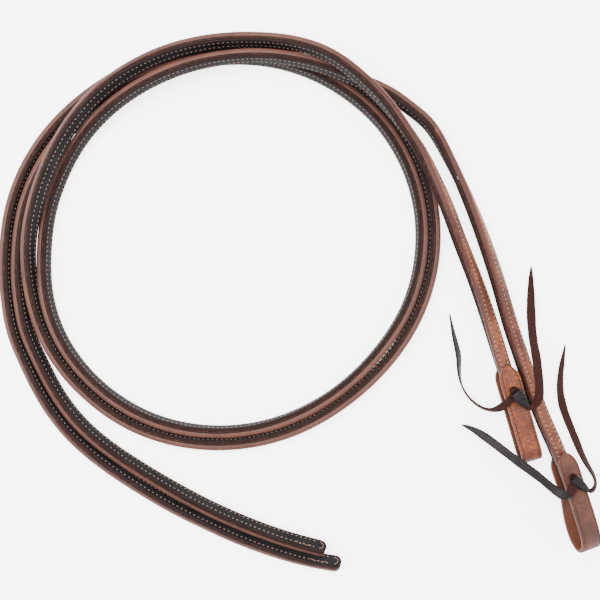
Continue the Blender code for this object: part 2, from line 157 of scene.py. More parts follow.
# lace tails: x, y, z, roll of the flat side from level (deg), half width
LACES = {
    # barrel: where its middle lies on the front leaf, and which way it runs (along, across);
    # turn: how far the loop is swivelled about the lace hole (deg)
    "left": {
        "barrel": ((8.7, 2.8), (0.917, 0.399)), "turn": 0.0,
        "left": [(184.2, -89.4, 21.9, 2, 3.4), (177.8, -94.6, 21.4, 22, 3.9),
                 (170.0, -97.6, 17.5, 60, 3.9), (161.9, -95.8, 12.2, 78, 3.9),
                 (153.0, -89.0, 8.2, 88, 3.9), (145.8, -77.0, 5.8, 100, 3.8),
                 (143.3, -63.1, 5.2, 122, 3.8), (143.0, -52.3, 4.9, 132, 3.7),
                 (139.8, -36.1, 4.2, 136, 3.0), (135.1, -12.6, 3.6, 136, 0.7)],
        "right": [(203.6, -95.4, 21.4, 14, 2.3), (207.4, -92.6, 21.0, 30, 3.2),
                  (210.8, -87.2, 20.5, 36, 3.9), (212.0, -79.8, 20.0, 26, 3.9),
                  (211.4, -69.2, 19.2, 14, 3.9), (210.0, -53.3, 17.4, 12, 3.9),
                  (208.2, -35.7, 12.6, 14, 3.9), (207.8, -18.0, 7.8, 12, 3.9),
                  (208.2, 0.0, 4.6, 10, 3.7), (208.6, 15.4, 3.0, 8, 2.6),
                  (209.0, 29.9, 2.2, 5, 0.7)],
    },
    "right": {
        "barrel": ((6.7, 2.3), (0.832, 0.553)), "turn": 3.0,
        "left": [(235.6, -171.0, 28.6, -8, 2.4), (230.8, -170.8, 29.3, -6, 3.9),
                 (225.2, -168.0, 28.0, -6, 3.9), (212.4, -157.5, 26.0, -5, 3.9),
                 (194.7, -144.3, 23.8, -4, 3.9), (177.6, -131.4, 20.9, -3, 3.9),
                 (164.0, -121.3, 16.4, -2, 3.6), (152.1, -114.5, 11.6, 0, 2.2),
                 (145.2, -112.0, 8.6, 2, 0.7)],
        "right": [(255.6, -167.4, 26.0, -14, 2.3), (258.4, -165.8, 24.6, -38, 3.0),
                  (260.6, -162.4, 22.0, -54, 3.6), (260.8, -157.6, 18.8, -60, 3.9),
                  (258.6, -151.4, 14.6, -54, 3.9), (254.8, -143.4, 10.6, -44, 3.9),
                  (247.8, -124.8, 5.6, -24, 3.9), (241.6, -108.6, 3.9, -16, 3.9),
                  (236.8, -93.8, 3.4, -18, 3.9), (234.8, -79.4, 3.6, -26, 3.9),
                  (235.7, -63.1, 3.6, -30, 3.2), (237.8, -50.6, 3.2, -26, 1.9),
                  (239.6, -41.2, 2.8, -20, 0.7)],
    },
}


# ---- camera and light -----------------------------------------------------------------------
def camera_and_light():
    """Straight down, in soft white light, on a plain pale floor."""
    cam = bpy.data.cameras.new("camera")
    cam.lens, cam.sensor_width = LENS, SENSOR
    eye = bpy.data.objects.new("camera", cam)
    eye.location = (TO_ORIGIN[0] * MM, TO_ORIGIN[1] * MM, CAMERA_HEIGHT)
    bpy.context.scene.collection.objects.link(eye)
    bpy.context.scene.camera = eye

    world = bpy.data.worlds.new("studio")
    world.use_nodes = True
    background = world.node_tree.nodes["Background"]
    background.inputs["Color"].default_value = (1.0, 1.0, 1.0, 1.0)
    background.inputs["Strength"].default_value = WORLD_STRENGTH
    bpy.context.scene.world = world

    for name, place, size, power in LAMPS:
        lamp = bpy.data.lights.new(name, "AREA")
        lamp.shape, lamp.size, lamp.size_y, lamp.energy = "RECTANGLE", size[0], size[1], power
        obj = bpy.data.objects.new(name, lamp)
        obj.location = place
        obj.rotation_euler = (-Vector(place)).to_track_quat("-Z", "Y").to_euler()
        bpy.context.scene.collection.objects.link(obj)

    bpy.ops.mesh.primitive_plane_add(size=FLOOR_SIZE, location=(0, 0, -FLOOR_DROP))
    floor = bpy.context.object
    floor.name = "floor"
    mat = bpy.data.materials.new("floor")
    mat.use_nodes = True
    shader = mat.node_tree.nodes["Principled BSDF"]
    shader.inputs["Base Color"].default_value = (0.93, 0.93, 0.93, 1.0)
    shader.inputs["Roughness"].default_value = 1.0
    shader.inputs["Specular IOR Level"].default_value = 0.0
    shader.inputs["Emission Color"].default_value = (1.0, 1.0, 1.0, 1.0)
    shader.inputs["Emission Strength"].default_value = FLOOR_GLOW
    floor.data.materials.append(mat)


# ---- material kit ---------------------------------------------------------------------------
def srgb(r, g, b):
    """A pigment from the 0-255 colour that it should show as."""
    def one(c):
        c /= 255.0
        return c / 12.92 if c <= 0.04045 else ((c + 0.055) / 1.055) ** 2.4
    light = [one(c) for c in (r, g, b)]
    grey = sum(light) / 3.0
    return (*(max(0.002, PIGMENT * (grey + RICH * (c - grey))) for c in light), 1.0)


class Nodes:
    """Short calls for the nodes of one material."""

    def __init__(self, name, rough=0.6, shine=0.2):
        self.mat = bpy.data.materials.new(name)
        self.mat.use_nodes = True
        self.tree = self.mat.node_tree
        self.shader = self.tree.nodes["Principled BSDF"]
        self.shader.inputs["Roughness"].default_value = rough
        self.shader.inputs["Specular IOR Level"].default_value = shine

    def put(self, kind, inputs=None, **settings):
        node = self.tree.nodes.new(kind)
        for key, value in settings.items():
            setattr(node, key, value)
        for key, value in (inputs or {}).items():
            self.feed(node.inputs[key], value)
        return node

    def feed(self, socket, value):
        if isinstance(value, bpy.types.NodeSocket):
            self.tree.links.new(value, socket)
        else:
            socket.default_value = value

    def place(self):
        """World-size place on the piece itself, in metres."""
        return self.put("ShaderNodeTexCoord").outputs["Object"]

    def lay(self):
        """The piece's own measure: along, across and through, in mm."""
        node = self.put("ShaderNodeAttribute", attribute_name="lay")
        parts = self.put("ShaderNodeSeparateXYZ", {0: node.outputs["Vector"]})
        return node.outputs["Vector"], parts.outputs[0], parts.outputs[1], parts.outputs[2]

    def scaled(self, vector, x, y, z):
        return self.put("ShaderNodeMapping", {0: vector, 3: (x, y, z)}).outputs[0]

    def noise(self, vector, scale, detail=3.0, rough=0.55, distortion=0.0):
        return self.put("ShaderNodeTexNoise", {
            "Vector": vector, "Scale": scale, "Detail": detail, "Roughness": rough,
            "Distortion": distortion}).outputs[0]

    def cell_edges(self, vector, scale):
        return self.put("ShaderNodeTexVoronoi", {"Vector": vector, "Scale": scale},
                        feature="DISTANCE_TO_EDGE").outputs["Distance"]

    def math(self, operation, a, b=0.0):
        return self.put("ShaderNodeMath", {0: a, 1: b}, operation=operation).outputs[0]

    def span(self, value, low, high, out_low=0.0, out_high=1.0):
        """value from low..high as out_low..out_high, smooth at both ends."""
        return self.put("ShaderNodeMapRange", {0: value, 1: low, 2: high, 3: out_low, 4: out_high},
                        interpolation_type="SMOOTHSTEP").outputs[0]

    def mix(self, factor, a, b):
        """Colour a where factor is 0, and b where it is 1."""
        return self.put("ShaderNodeMix", {0: factor, 6: a, 7: b}, data_type="RGBA").outputs[2]

    def bump(self, height, depth_mm):
        return self.put("ShaderNodeBump", {"Height": height, "Distance": depth_mm * MM,
                                           "Strength": 1.0}).outputs[0]

    def done(self, colour, normal, rough=None):
        self.feed(self.shader.inputs["Base Color"], colour)
        self.feed(self.shader.inputs["Normal"], normal)
        if rough is not None:
            self.feed(self.shader.inputs["Roughness"], rough)
        return self.mat


def band(n, value, middle, half, soft):
    """1 where value is within half of middle, fading over soft."""
    away = n.math("ABSOLUTE", n.math("SUBTRACT", value, middle))
    return n.span(away, half + soft, half)


def stitch_holes(n, along, across):
    """1 at the needle holes of both rows."""
    phase = n.math("FRACT", n.math("DIVIDE", along, STITCH_PITCH))
    off = n.math("MULTIPLY", n.math("ABSOLUTE", n.math("SUBTRACT", phase, 0.5)), STITCH_PITCH)
    row = n.math("SUBTRACT", n.math("ABSOLUTE", across), ROW_V)
    away = n.math("SQRT", n.math("ADD", n.math("MULTIPLY", off, off), n.math("MULTIPLY", row, row)))
    return n.span(away, 0.95, 0.45)


def top_leather():
    """Oiled brown grain leather with a burnished edge."""
    n = Nodes("brown_grain_leather", 0.5)
    place = n.place()
    _, along, across, through = n.lay()
    cloud = n.noise(place, 38.0, 4.0, 0.6)
    mottle = n.noise(place, 420.0, 4.0, 0.65)
    pores = n.noise(place, 1900.0, 2.0, 0.6)
    face = n.mix(n.span(cloud, 0.40, 0.62), srgb(136, 80, 66), srgb(208, 132, 106))
    face = n.mix(n.span(mottle, 0.40, 0.66, 0.0, 0.6), face, srgb(122, 74, 63))
    shoulder = n.mix(n.span(cloud, 0.3, 0.7), srgb(128, 92, 85), srgb(160, 113, 102))
    shoulder = n.mix(n.span(mottle, 0.4, 0.7, 0.0, 0.5), shoulder, srgb(176, 124, 108))
    # painted shade: within about 280 mm of the bit end, fading out by 420 mm, the strap's shoulder
    # is painted darker to stand in for the shade on those slopes
    shaded_shoulder = n.mix(n.span(mottle, 0.35, 0.68), srgb(100, 62, 57), srgb(140, 88, 78))
    shoulder = n.mix(n.span(along, 420.0, 280.0), shoulder, shaded_shoulder)
    colour = n.mix(n.span(through, 4.5, 3.2), face, shoulder)
    # painted shade: the lowest part of the strap's edge, by the seam, is painted near black for the
    # shadow in the seam's crevice
    colour = n.mix(n.span(through, -0.1, -0.45), colour, srgb(28, 19, 19))
    colour = n.mix(n.math("MULTIPLY", n.span(pores, 0.52, 0.68), 0.38), colour, srgb(92, 52, 44))
    # fine pale scratches, slanting across the grain
    scratch = n.cell_edges(n.scaled(place, 1.0, 0.45, 1.0), 46.0)
    broken = n.span(n.noise(place, 75.0, 2.0), 0.56, 0.66)
    scratch = n.math("MULTIPLY", n.span(scratch, 0.012, 0.0), n.math("MULTIPLY", broken, 0.65))
    colour = n.mix(scratch, colour, srgb(214, 150, 118))
    holes = n.math("MULTIPLY", stitch_holes(n, along, across), n.span(through, 3.8, 4.2))
    colour = n.mix(n.math("MULTIPLY", holes, 0.75), colour, srgb(74, 40, 34))
    height = n.math("ADD", n.math("MULTIPLY", pores, 0.5), n.math("MULTIPLY", mottle, 0.8))
    height = n.math("SUBTRACT", height, n.math("MULTIPLY", holes, 1.1))
    return n.done(colour, n.bump(height, 0.22), n.span(mottle, 0.3, 0.7, 0.46, 0.62))


def lining_leather():
    """Black lining, with a cut edge that shows brown fibres and painted shade along the seam."""
    n = Nodes("black_lining_leather", 0.75, 0.06)
    place = n.place()
    lay, along, across, through = n.lay()
    grain = n.noise(place, 900.0, 3.0, 0.6)
    cloud = n.noise(place, 60.0, 3.0, 0.6)
    face = n.mix(n.span(cloud, 0.3, 0.7), srgb(46, 44, 46), srgb(62, 60, 62))
    face = n.mix(n.span(grain, 0.45, 0.7, 0.0, 0.5), face, srgb(36, 34, 35))
    fibre = n.noise(n.scaled(lay, 0.22, 1.0, 2.2), 1.5, 3.0, 0.6)
    streak = n.noise(n.scaled(lay, 0.05, 1.0, 1.6), 1.3, 2.0, 0.5)
    red = n.mix(n.span(streak, 0.35, 0.65), srgb(58, 44, 43), srgb(80, 58, 54))
    pale = n.mix(n.span(fibre, 0.50, 0.64), srgb(70, 52, 49), srgb(146, 100, 80))
    edge = n.mix(band(n, through, -1.75, 0.55, 0.35), red, pale)
    dark = n.math("MULTIPLY", band(n, through, -2.6, 0.14, 0.25), n.span(streak, 0.36, 0.5))
    edge = n.mix(dark, edge, srgb(36, 28, 29))
    # painted shade: the top of the cut edge, by the seam, is painted near black for the shadow in
    # the seam's crevice
    edge = n.mix(n.span(through, -1.0, -0.7), edge, srgb(32, 25, 26))
    colour = n.mix(n.span(through, -4.3, -4.65), edge, face)
    holes = n.math("MULTIPLY", stitch_holes(n, along, across), n.span(through, -4.5, -4.7))
    colour = n.mix(n.math("MULTIPLY", holes, 0.8), colour, srgb(26, 22, 22))
    height = n.math("SUBTRACT", n.math("ADD", n.math("MULTIPLY", grain, 0.7),
                                       n.math("MULTIPLY", fibre, 0.4)), holes)
    return n.done(colour, n.bump(height, 0.16), n.span(grain, 0.3, 0.7, 0.66, 0.8))


def thread(name, low, high):
    """Waxed twisted thread."""
    n = Nodes(name, 0.75)
    _, along, across, _ = n.lay()
    twist = n.math("SINE", n.math("MULTIPLY", n.math("ADD", along, across), 9.0))
    colour = n.mix(n.span(twist, -1.0, 1.0), srgb(*low), srgb(*high))
    return n.done(colour, n.bump(twist, 0.05))


def loop_leather(name, low, high, sheen, sheen_share, coarse):
    """Oiled leather bent grain out: wrinkled grain with a painted sheen on the wrinkle ridges and
    painted shade in the creases, brown flesh and a cut edge.
    """
    n = Nodes(name, 0.5)
    place = n.place()
    lay, _, across, through = n.lay()
    cloud = n.noise(place, 55.0, 4.0, 0.6)
    wrinkle = n.noise(n.scaled(lay, 1.0, 0.42, 0.0), coarse, 4.0, 0.6, 1.4)
    crease = n.noise(n.scaled(lay, 1.5, 0.22, 0.0), 2.0 * coarse, 3.0, 0.6, 0.6)
    pores = n.noise(place, 1500.0, 2.0, 0.6)
    grain = n.mix(n.span(cloud, 0.36, 0.64), srgb(*low), srgb(*high))
    # painted sheen: a grey haze laid on the raised side of the wrinkles, standing in for the
    # reflection of the soft lamps
    grain = n.mix(n.span(wrinkle, 0.49, 0.55, 0.0, sheen_share), grain, srgb(*sheen))
    # painted shade: the creases of the bent leather are painted darker
    grain = n.mix(n.span(crease, 0.54, 0.62, 0.0, 0.5), grain, srgb(98, 64, 56))
    groove = band(n, n.math("ABSOLUTE", across), CREASE_V, 0.18, 0.42)
    grain = n.mix(n.math("MULTIPLY", groove, 0.62), grain, srgb(104, 72, 66))
    nap = n.noise(place, 1200.0, 4.0, 0.7)
    flesh = n.mix(n.span(nap, 0.34, 0.66), srgb(122, 68, 50), srgb(172, 104, 78))
    cut = n.mix(n.span(nap, 0.35, 0.65), srgb(104, 66, 52), srgb(146, 100, 80))
    colour = n.mix(n.span(through, 0.35, -0.45), grain, cut)
    colour = n.mix(n.span(through, -0.75, -1.35), colour, flesh)
    colour = n.mix(n.span(pores, 0.55, 0.72, 0.0, 0.3), colour, srgb(96, 58, 46))
    height = n.math("ADD", n.math("MULTIPLY", wrinkle, 1.4), n.math("MULTIPLY", crease, 0.9))
    height = n.math("SUBTRACT", n.math("ADD", height, n.math("MULTIPLY", nap, 0.35)),
                    n.math("MULTIPLY", groove, 0.9))
    return n.done(colour, n.bump(height, 0.5), n.span(cloud, 0.3, 0.7, 0.44, 0.62))


def lace_leather(name, low, high):
    """Soft dark thong: nearly black grain, red-brown nap, reddish edge, and painted shade near its
    start.
    """
    n = Nodes(name, 0.6, 0.12)
    place = n.place()
    _, along, _, through = n.lay()
    soft = n.noise(place, 160.0, 3.0, 0.6)
    nap = n.noise(place, 1500.0, 4.0, 0.75)
    grain = n.mix(n.span(soft, 0.35, 0.65), srgb(*low), srgb(*high))
    grain = n.mix(n.span(nap, 0.5, 0.7, 0.0, 0.4), grain, srgb(34, 28, 29))
    flesh = n.mix(n.span(nap, 0.38, 0.64), srgb(38, 21, 19), srgb(104, 60, 52))
    colour = n.mix(n.span(through, 0.25, -0.25), grain, flesh)
    rim = band(n, through, 0.0, 0.25, 0.3)
    colour = n.mix(n.math("MULTIPLY", rim, 0.7), colour, srgb(84, 44, 37))
    # painted shade near along 0: the crevice where a knot's wrap meets its cone, and the start of
    # each lace at its knot
    crevice_shade = band(n, along, 0.1, 0.6, 0.5)
    colour = n.mix(n.math("MULTIPLY", crevice_shade, 0.9), colour, srgb(16, 9, 8))
    height = n.math("ADD", n.math("MULTIPLY", nap, 0.8), n.math("MULTIPLY", soft, 0.8))
    return n.done(colour, n.bump(height, 0.2), n.span(through, 0.3, -0.3, 0.48, 0.85))


# ---- mesh kit -------------------------------------------------------------------------------
def natural_spline(t, values):
    """A natural cubic through values at t."""
    n = len(t)
    h = np.diff(t)
    a = np.zeros((n, n))
    b = np.zeros((n, values.shape[1]))
    a[0, 0] = a[-1, -1] = 1.0
    for i in range(1, n - 1):
        a[i, i - 1], a[i, i], a[i, i + 1] = h[i - 1], 2 * (h[i - 1] + h[i]), h[i]
        b[i] = 6 * ((values[i + 1] - values[i]) / h[i] - (values[i] - values[i - 1]) / h[i - 1])
    second = np.linalg.solve(a, b)

    def at(x):
        i = np.clip(np.searchsorted(t, x) - 1, 0, n - 2)
        w = (x - t[i])[:, None]
        v = (t[i + 1] - x)[:, None]
        k = h[i][:, None]
        return ((second[i] * v**3 + second[i + 1] * w**3) / (6 * k)
                + (values[i] / k - second[i] * k / 6) * v
                + (values[i + 1] / k - second[i + 1] * k / 6) * w)
    return at


def unit(v):
    return v / np.linalg.norm(v, axis=-1, keepdims=True)


class Route:
    """The middle line of a doubled strap, with the way its grain side leans."""

    def __init__(self, keys):
        keys = np.array(keys, float)
        step = np.hypot(np.diff(keys[:, 0]), np.diff(keys[:, 1]))
        t = np.concatenate([[0.0], np.cumsum(step)])
        fine = natural_spline(t, keys)(np.linspace(0.0, t[-1], ROUTE_SAMPLES))
        self.lean = np.radians(fine[:, 3])
        rest = STRAP_HALF_W * np.abs(np.cos(self.lean)) + FACE_U * np.abs(np.sin(self.lean)) - 0.1
        self.points = np.column_stack([fine[:, 0], fine[:, 1], rest + fine[:, 2]]) + TO_ORIGIN
        gaps = np.linalg.norm(np.diff(self.points, axis=0), axis=1)
        self.s = np.concatenate([[0.0], np.cumsum(gaps)])
        self.length = float(self.s[-1])

    def at(self, s):
        return np.column_stack([np.interp(s, self.s, self.points[:, k]) for k in range(3)])

    def frames(self, s):
        """Points, tangents, grain and width directions at arc lengths s."""
        s = np.asarray(s, float)
        ahead, behind = np.minimum(self.length, s + 3.0), np.maximum(0.0, s - 3.0)
        tangent = unit(self.at(ahead) - self.at(behind))
        side = unit(np.cross(tangent, [0.0, 0.0, 1.0]))
        up = np.cross(side, tangent)
        lean = np.interp(s, self.s, self.lean)[:, None]
        grain = np.cos(lean) * side + np.sin(lean) * up
        width = np.cos(lean) * up - np.sin(lean) * side
        return self.at(s), tangent, grain, width


def link(name, verts, faces, mat, lay):
    """A mesh object from mm vertices, with its own measure for the materials."""
    mesh = bpy.data.meshes.new(name)
    mesh.from_pydata([tuple(v) for v in np.asarray(verts) * MM], [],
                     [tuple(int(i) for i in f) for f in faces])
    attribute = mesh.attributes.new("lay", "FLOAT_VECTOR", "POINT")
    attribute.data.foreach_set("vector", np.asarray(lay, np.float32).ravel())
    mesh.materials.append(mat)
    bm = bmesh.new()
    bm.from_mesh(mesh)
    bmesh.ops.recalc_face_normals(bm, faces=bm.faces[:])
    bm.to_mesh(mesh)
    bm.free()
    mesh.shade_smooth()
    obj = bpy.data.objects.new(name, mesh)
    bpy.context.scene.collection.objects.link(obj)
    return obj


def sweep(name, rings, lay, mat):
    """One closed skin through rings of points, both shaped (stations, profile, 3)."""
    count, size = rings.shape[:2]
    i = np.arange(count - 1)[:, None] * size
    j = np.arange(size)[None, :]
    k = (j + 1) % size
    quads = np.stack([i + j, i + k, i + size + k, i + size + j], axis=-1).reshape(-1, 4)
    faces = list(quads) + [list(range(size))[::-1], list(range((count - 1) * size, count * size))]
    return link(name, rings.reshape(-1, 3), faces, mat, lay.reshape(-1, 3))


# ---- straps ---------------------------------------------------------------------------------
# half profiles (through, across), from the seam to the middle of the face
TOP_HALF = [(-0.62, 6.22), (-0.1, 6.34), (0.9, 6.38), (2.0, 6.32), (2.9, 6.12), (3.6, 5.72),
            (4.15, 5.15), (4.5, 4.55), (4.68, 4.05), (4.7, 3.75), (4.58, 3.48), (4.52, 3.25),
            (4.6, 3.02), (4.78, 2.7), (4.9, 2.2), (4.97, 1.2), (5.0, 0.0)]
LINING_HALF = [(-0.78, 6.2), (-0.9, 6.3), (-2.0, 6.34), (-2.5, 6.24), (-3.0, 6.32), (-3.7, 6.3),
               (-4.25, 6.14), (-4.65, 5.75), (-4.86, 5.2), (-4.9, 4.2), (-4.84, 3.6), (-4.78, 3.25),
               (-4.86, 2.9), (-4.95, 1.6), (-4.95, 0.0)]


def whole(half):
    """A half profile and its mirror image across the middle."""
    return np.array(half + [(u, -v) for u, v in reversed(half[:-1])])


def end_width(route, s):
    """The strap's ends are rounded to a half circle, a little squarer than round."""
    d = np.minimum(s, route.length - s)
    x = np.clip(1.0 - d / STRAP_HALF_W, 0.0, 1.0)
    return np.maximum(0.12, (1.0 - x**2.4) ** 0.5)


def strap(name, route, half, mat):
    """One of the two straps, section by section."""
    near = np.array([0.0, 0.15, 0.5, 1.0, 1.8, 2.8, 4.0, 5.2, 6.6, 9.0])
    body = np.arange(12.0, route.length - 12.0, 3.0)
    s = np.concatenate([near, body, route.length - near[::-1]])
    points, _, grain, width = route.frames(s)
    profile = whole(half)
    u, v = profile[:, 0], profile[:, 1]
    narrow = end_width(route, s)
    # a little unevenness, as hand-finished edges have
    wave = 0.07 * np.sin(s / 23.0) + 0.05 * np.sin(s / 9.1 + 1.0)
    on_edge = np.sign(v) * (np.abs(v) > EDGE_V)
    across = v[None, :] * narrow[:, None] + on_edge[None, :] * wave[:, None] * 0.6
    rings = (points[:, None] + grain[:, None] * u[None, :, None]
             + width[:, None] * across[:, :, None])
    lay = np.stack(np.broadcast_arrays(s[:, None], v[None, :], u[None, :]), axis=-1)
    return sweep(name, rings, lay, mat)


def stitch_line(name, route, side, mat, length, slant):
    """Every stitch of both rows on one face, each a small pillow of thread."""
    turn = route.length - RUN_END
    rows = []   # along the strap, across it, heading (deg), slant (deg)
    count = int((turn - RUN_START) / STITCH_PITCH)
    for sign in (1, -1):
        for k in range(count):
            s = RUN_START + (k + 0.5) * STITCH_PITCH
            rows.append((s, sign * ROW_V, 0.0, slant * sign))
    for a in (18, 54, 90, 126, 162):   # round the tail end, from one row to the other
        q = math.radians(a)
        rows.append((turn + 2.0 + 3.4 * math.sin(q), ROW_V * math.cos(q), -a, 0.0))
    if side == -1:  # the thread is sewn back over itself where the run ends
        rows += [(turn - 6.0 - 3.1 * k, ROW_V + (0.5 if k % 2 else -0.35), 0.0, 14.0)
                 for k in range(5)]
    rows = np.array(rows)
    s, v, heading, lean = rows.T
    points, tangent, grain, width = route.frames(s)
    q = np.radians(heading + lean)[:, None]
    run = tangent * np.cos(q) + width * np.sin(q)
    over = width * np.cos(q) - tangent * np.sin(q)
    middle = points + grain * side * THREAD_AT[side] + width * v[:, None]
    along = np.array([-0.5, -0.42, -0.24, 0.0, 0.24, 0.42, 0.5]) * length
    fat = np.array([0.25, 0.72, 0.98, 1.0, 0.98, 0.72, 0.25])
    dip = np.array([-0.42, -0.12, 0.08, 0.12, 0.08, -0.12, -0.42])
    ring_angle = np.arange(6) * math.pi / 3
    ca, sa = np.cos(ring_angle), np.sin(ring_angle)
    m, g = len(along), len(ring_angle)
    out = dip[:, None] + THREAD_HALF_H * fat[:, None] * sa[None, :]
    verts = (middle[:, None, None]
             + run[:, None, None] * along[None, :, None, None]
             + over[:, None, None] * (THREAD_HALF_W * fat[:, None] * ca[None, :])[None, :, :, None]
             + (grain * side)[:, None, None] * out[None, :, :, None])
    lay = np.empty(verts.shape)
    lay[..., 0] = along[None, :, None] + s[:, None, None]
    lay[..., 1] = (THREAD_HALF_W * ca)[None, None, :]
    lay[..., 2] = sa[None, None, :]
    base = []
    for i in range(m - 1):
        for j in range(g):
            k = (j + 1) % g
            base.append((i * g + j, i * g + k, (i + 1) * g + k, (i + 1) * g + j))
    faces = []
    for r in range(len(rows)):
        o = r * m * g
        faces += [tuple(o + x for x in f) for f in base]
        faces += [tuple(range(o + g - 1, o - 1, -1)), tuple(range(o + (m - 1) * g, o + m * g))]
    return link(name, verts.reshape(-1, 3), faces, mat, lay.reshape(-1, 3))


# ---- bit loops ------------------------------------------------------------------------------
def loop_frame(route, turn_deg):
    """Lace hole, direction toward the bit, across it, and out of the grain."""
    hole, tangent, grain, width = (v[0] for v in route.frames([HOLE_S]))
    turn = math.radians(turn_deg)
    along = -tangent * math.cos(turn) + width * math.sin(turn)
    return hole, along, np.cross(grain, along), grain


def bit_loop(name, place, shape, mat):
    """The folded leather that holds the bit ring: a skived, round-ended strip bent double."""
    origin, along, across, up = place
    shape = np.array(shape, float)
    step = np.linalg.norm(np.diff(shape, axis=0), axis=1)
    t = np.concatenate([[0.0], np.cumsum(step)])
    n = int(t[-1] / 1.3)
    stops = np.linspace(0.0, t[-1], n)
    near = np.array([0.12, 0.4, 0.8])
    stops = np.unique(np.concatenate([stops, near, t[-1] - near]))
    line = natural_spline(t, shape)(stops)
    slope = unit(np.gradient(line, stops, axis=0))
    normal = np.column_stack([-slope[:, 1], slope[:, 0]])
    end = np.minimum(stops, t[-1] - stops)
    x = np.clip(1.0 - end / TAB_REACH, 0.0, 1.0)
    half = LOOP_HALF_W * np.maximum(0.05, (1.0 - x**2.3) ** 0.62)
    thick = LOOP_T * (0.58 + 0.42 * np.clip(end / 12.0, 0.0, 1.0))
    # across the strip: rounded edges, and a creased line near each edge of the grain
    edge = [(1.0, 0.0), (0.985, 0.32), (0.94, 0.46), (0.86, 0.5), (0.80, 0.5),
            (0.772, 0.43), (0.745, 0.5), (0.6, 0.51), (0.3, 0.52), (0.0, 0.52)]
    grain_side = edge + [(-v, u) for v, u in reversed(edge[:-1])]
    flesh_side = [(-0.985, -0.32), (-0.94, -0.48), (-0.6, -0.5), (0.0, -0.5), (0.6, -0.5),
                  (0.94, -0.48), (0.985, -0.32)]
    profile = np.array(grain_side + flesh_side)
    v, u = profile[:, 0], profile[:, 1]
    middle = origin + along * line[:, :1] + up * line[:, 1:]
    out = along * normal[:, :1] + up * normal[:, 1:]
    through = -LOOP_T / 2 + (u[None, :] + 0.5) * thick[:, None]   # the flesh sides stay in line
    rings = (middle[:, None] + across * (v[None, :, None] * half[:, None, None])
             + out[:, None] * through[:, :, None])
    lay = np.stack(np.broadcast_arrays(
        stops[:, None], v[None, :] * LOOP_HALF_W, u[None, :] * LOOP_T), axis=-1)
    loop = sweep(name, rings, lay, mat)
    drill_hole(loop, origin, up, HOLE_R)
    return loop


def drill_hole(obj, origin, axis, radius):
    """Cut a round hole through obj along axis."""
    bpy.ops.mesh.primitive_cylinder_add(radius=radius * MM, depth=DRILL_LENGTH * MM, vertices=40)
    cutter = bpy.context.object
    cutter.location = origin * MM
    cutter.rotation_euler = Vector(axis).to_track_quat("Z", "X").to_euler()
    mod = obj.modifiers.new("hole", "BOOLEAN")
    mod.operation, mod.solver, mod.object = "DIFFERENCE", "EXACT", cutter
    bpy.context.view_layer.update()
    mesh = bpy.data.meshes.new_from_object(obj.evaluated_get(bpy.context.evaluated_depsgraph_get()))
    obj.modifiers.clear()
    obj.data = mesh
    bpy.data.objects.remove(cutter)


# ---- lace ties ------------------------------------------------------------------------------
def ribbon(name, keys, flesh_up, mat):
    """A lace tail: a soft flat thong, slightly cupped, with its flesh or grain side up."""
    keys = np.array(keys, float)
    step = np.linalg.norm(np.diff(keys[:, :3], axis=0), axis=1)
    t = np.concatenate([[0.0], np.cumsum(step)])
    rows = natural_spline(t, keys)(np.linspace(0.0, t[-1], int(t[-1] / 1.2)))
    points = rows[:, :3] + TO_ORIGIN
    tangent = unit(np.gradient(points, axis=0))
    side = unit(np.cross(tangent, [0.0, 0.0, 1.0]))
    up = np.cross(side, tangent)
    roll = np.radians(rows[:, 3:4])
    across = np.cos(roll) * side + np.sin(roll) * up
    normal = np.cross(across, tangent)
    half = rows[:, 4]
    profile = np.array([(1.0, 0.0), (0.97, 0.3), (0.88, 0.46), (0.5, 0.52), (0.0, 0.5),
                        (-0.5, 0.52), (-0.88, 0.46), (-0.97, 0.3), (-1.0, 0.0), (-0.97, -0.3),
                        (-0.88, -0.46), (-0.5, -0.5), (0.0, -0.46), (0.5, -0.5), (0.88, -0.46),
                        (0.97, -0.3)])
    v, u = profile[:, 0], profile[:, 1]
    s = np.concatenate([[0.0], np.cumsum(np.linalg.norm(np.diff(points, axis=0), axis=1))])
    thick = LACE_T * np.clip(half / 3.0, 0.5, 1.0)
    sway = 0.12 * np.sin(s / 6.3) + 0.08 * np.sin(s / 2.9 + 2.0)
    reach = half + sway * half / 4.0
    rings = (points[:, None] + across[:, None] * (v[None, :, None] * reach[:, None, None])
             + normal[:, None] * (u[None, :, None] * thick[:, None, None]))
    face = -1.0 if flesh_up else 1.0
    lay = np.stack(np.broadcast_arrays(
        s[:, None], v[None, :] * LACE_HALF_W, face * u[None, :] * 2.0), axis=-1)
    return sweep(name, rings, lay, mat), points


def lofted(name, middle, axis, beside, out, stations, power, mat, flesh=0.0, size=1.0):
    """A closed skin of rounded-square sections.

    stations are (along, shift beside, shift out, half width, half height);
    flesh is 0 where the grain shows and 2 where the flesh does."""
    q = np.linspace(0.0, 2 * math.pi, LOFT_POINTS, endpoint=False)
    ca = np.sign(np.cos(q)) * np.abs(np.cos(q)) ** power
    sa = np.sign(np.sin(q)) * np.abs(np.sin(q)) ** power
    rings, lay = [], []
    for x, dy, dz, a, b in stations:
        a, b = size * a, size * b
        rings.append(middle + axis * x + beside * (dy + a * ca)[:, None]
                     + out * (dz + b * sa)[:, None])
        lay.append(np.column_stack([np.full(LOFT_POINTS, x), a * ca,
                                    np.full(LOFT_POINTS, 1.0 - flesh)]))
    return sweep(name, np.array(rings), np.array(lay), mat)


